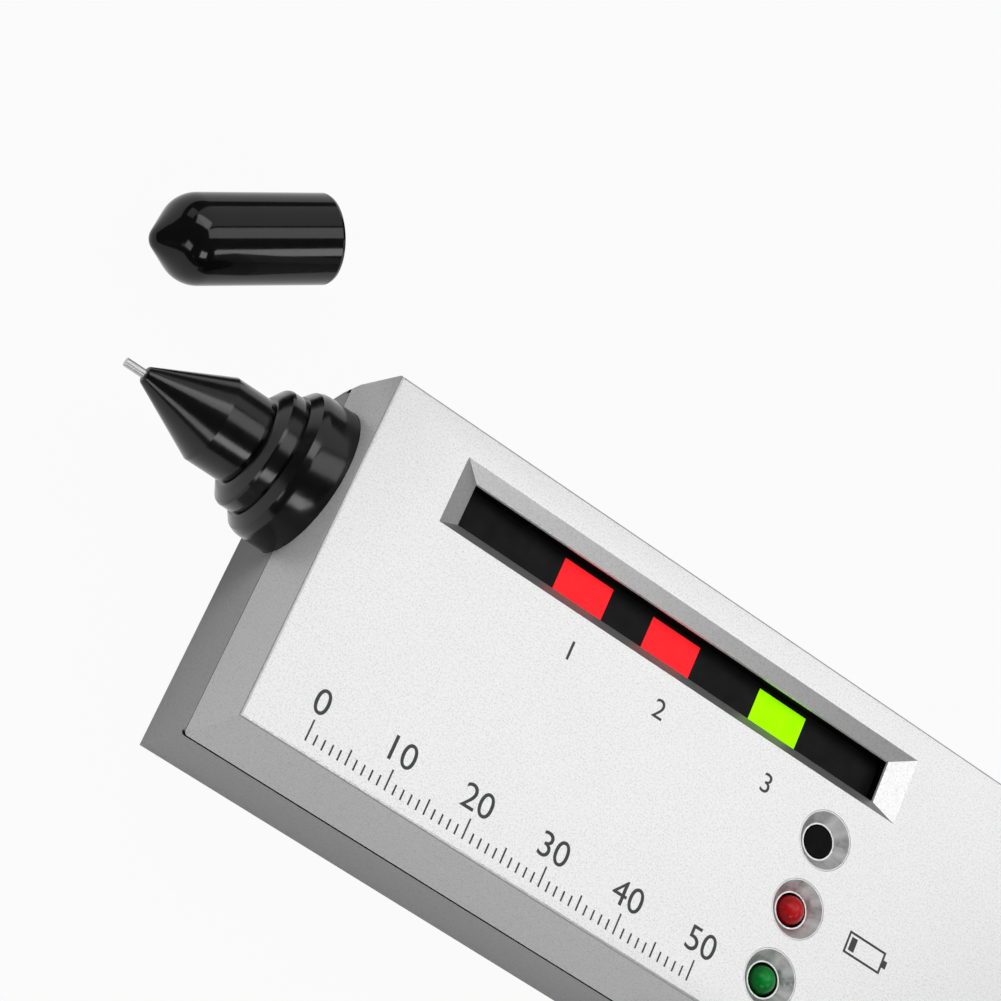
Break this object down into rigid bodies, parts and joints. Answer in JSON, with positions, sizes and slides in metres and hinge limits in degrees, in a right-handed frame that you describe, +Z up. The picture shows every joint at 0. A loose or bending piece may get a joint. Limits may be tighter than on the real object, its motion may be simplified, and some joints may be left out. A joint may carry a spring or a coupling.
{
  "type": "gemstone tester",
  "caption": "Slim hand-held thermal gemstone tester: silver two-part housing, lit result window, domed lamps, thumbwheel, sprung needle in a black conical probe, and a loose probe cap.",
  "frame": {"origin": "middle of the flat underside of the housing", "axes": "+X from the probe to the tail, +Y to the side with the result window, +Z up"},
  "size_m": [0.1652, 0.0657, 0.0244],
  "materials": {
    "silver_paint": "silver paint with a fine metallic grain",
    "satin_metal": "satin",
    "black_gloss": "polished black",
    "black_matt": "matt black",
    "black_vinyl": "glossy soft vinyl",
    "red_light": "lit diffuser",
    "green_light": "lit diffuser",
    "red_lens": "clear dark red",
    "green_lens": "clear dark green",
    "bright_steel": "bright drawn",
    "zinc_screw": "zinc plated",
    "board_green": "solder mask",
    "grey_plastic": "moulded grey",
    "pale_plastic": "moulded ivory",
    "brass_slug": "turned",
    "ceramic_bead": "unglazed",
    "battery_can": "painted can",
    "red_insulation": "lead insulation"
  },
  "bodies": {
    "housing": {"front_shell": "silver_paint", "rear_shell": "silver_paint", "display_bezel": "black_matt", "display_mask": "black_matt", "result_lamp_red_left": "red_light", "result_lamp_red_middle": "red_light", "result_lamp_green": "green_light", "button_bezel": "satin_metal", "low_battery_bezel": "satin_metal", "ready_bezel": "satin_metal", "tact_switch": "grey_plastic", "low_battery_lamp": "red_lens", "ready_lamp": "green_lens", "circuit_board": "board_green", "board_screws": "zinc_screw", "case_screws": "zinc_screw", "control_chip": "black_matt", "sounder": "black_matt", "potentiometer": "grey_plastic", "battery": "battery_can", "battery_terminals": "zinc_screw", "battery_snap": "black_matt", "battery_leads": "red_insulation", "probe_collar": "black_gloss", "probe_nose": "black_gloss", "probe_spring": "bright_steel", "probe_plug": "grey_plastic", "probe_leads": "red_insulation", "probe_socket": "pale_plastic"},
    "needle": {"probe_needle": "bright_steel", "needle_carrier": "brass_slug", "thermal_sensor": "ceramic_bead"},
    "button": {"test_button": "black_matt", "switch_plunger": "pale_plastic"},
    "wheel": {"thumbwheel": "black_matt", "wheel_shaft": "bright_steel"},
    "door": {"battery_door": "silver_paint"},
    "cap": {"probe_cap": "black_vinyl"}
  },
  "joints": [
    {"name": "needle_retract", "type": "slide", "parent": "housing", "child": "needle", "axis": [1, 0, 0], "range_m": [0, 0.0015], "stiffness_N_per_m": 400, "springref_m": -0.002, "deforming": ["probe_spring"]},
    {"name": "button_press", "type": "slide", "parent": "housing", "child": "button", "axis": [0, 0, -1], "range_m": [0, 0.0006], "stiffness_N_per_m": 800, "springref_m": -0.001},
    {"name": "wheel_turn", "type": "hinge", "parent": "housing", "child": "wheel", "pos_m": [-0.007, -0.0153, 0.0116], "axis": [0, 0, 1], "range_deg": [0, 270]},
    {"name": "door_slide", "type": "slide", "parent": "housing", "child": "door", "axis": [1, 0, 0], "range_m": [0, 0.0552]},
    {"name": "cap_lift", "type": "slide", "parent": "housing", "child": "cap", "axis": [0, 0, 1], "range_m": [0, 0.04]}
  ]
}
